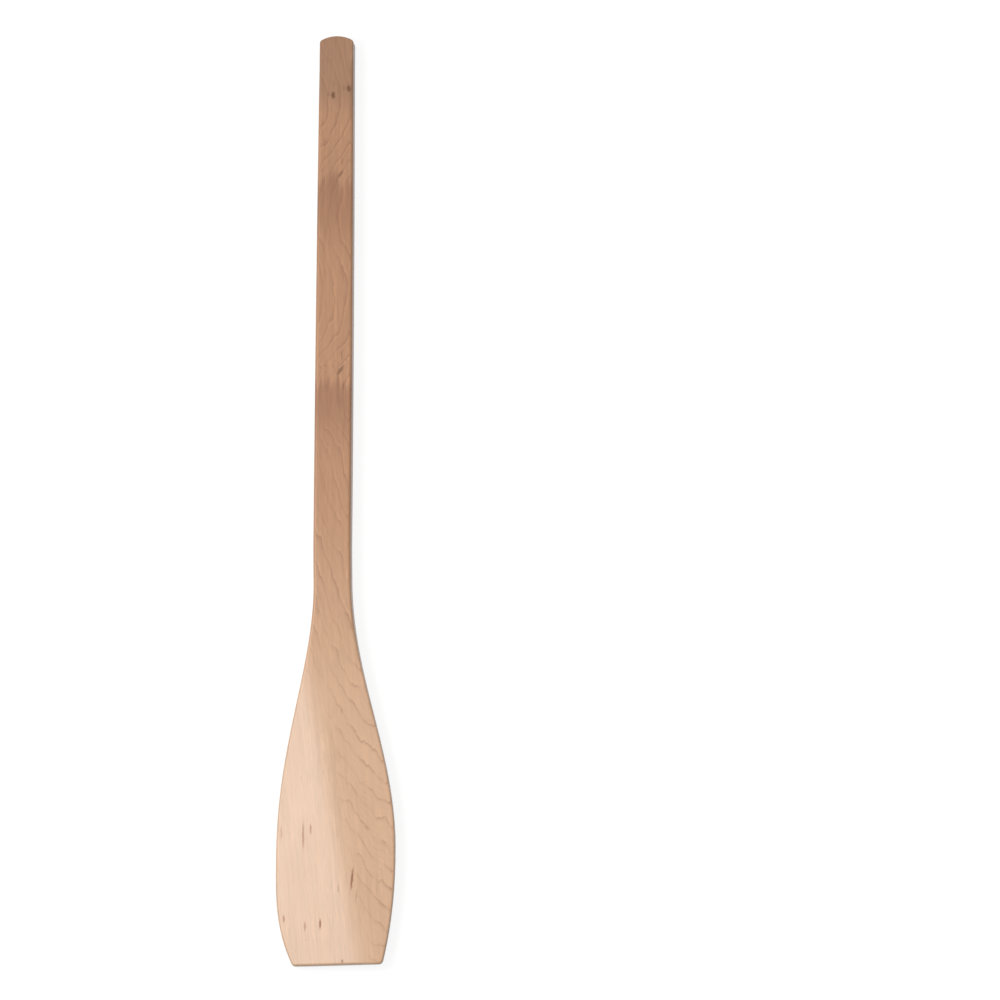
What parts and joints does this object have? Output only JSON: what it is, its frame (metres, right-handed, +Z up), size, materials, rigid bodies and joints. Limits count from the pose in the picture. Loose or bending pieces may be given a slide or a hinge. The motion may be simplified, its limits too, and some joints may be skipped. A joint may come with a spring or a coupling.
{
  "type": "mixing paddle",
  "caption": "Long one-piece wooden paddle for stirring vats: a flat handle with rounded edges widens into a thin blade with a slanting ridge, a full belly and a straight tip.",
  "frame": {"origin": "under the middle of the paddle's box, on the surface that the flat back of the handle lies on", "axes": "+Y along the plank from the blade's tip to the end of the handle, +Z up out of the front face, +X to the right of the front face with the handle up"},
  "size_m": [0.1164, 0.9144, 0.024],
  "materials": {
    "maple": "sanded smooth, satin, unpainted"
  },
  "bodies": {
    "root": {"paddle": "maple"}
  },
  "joints": []
}
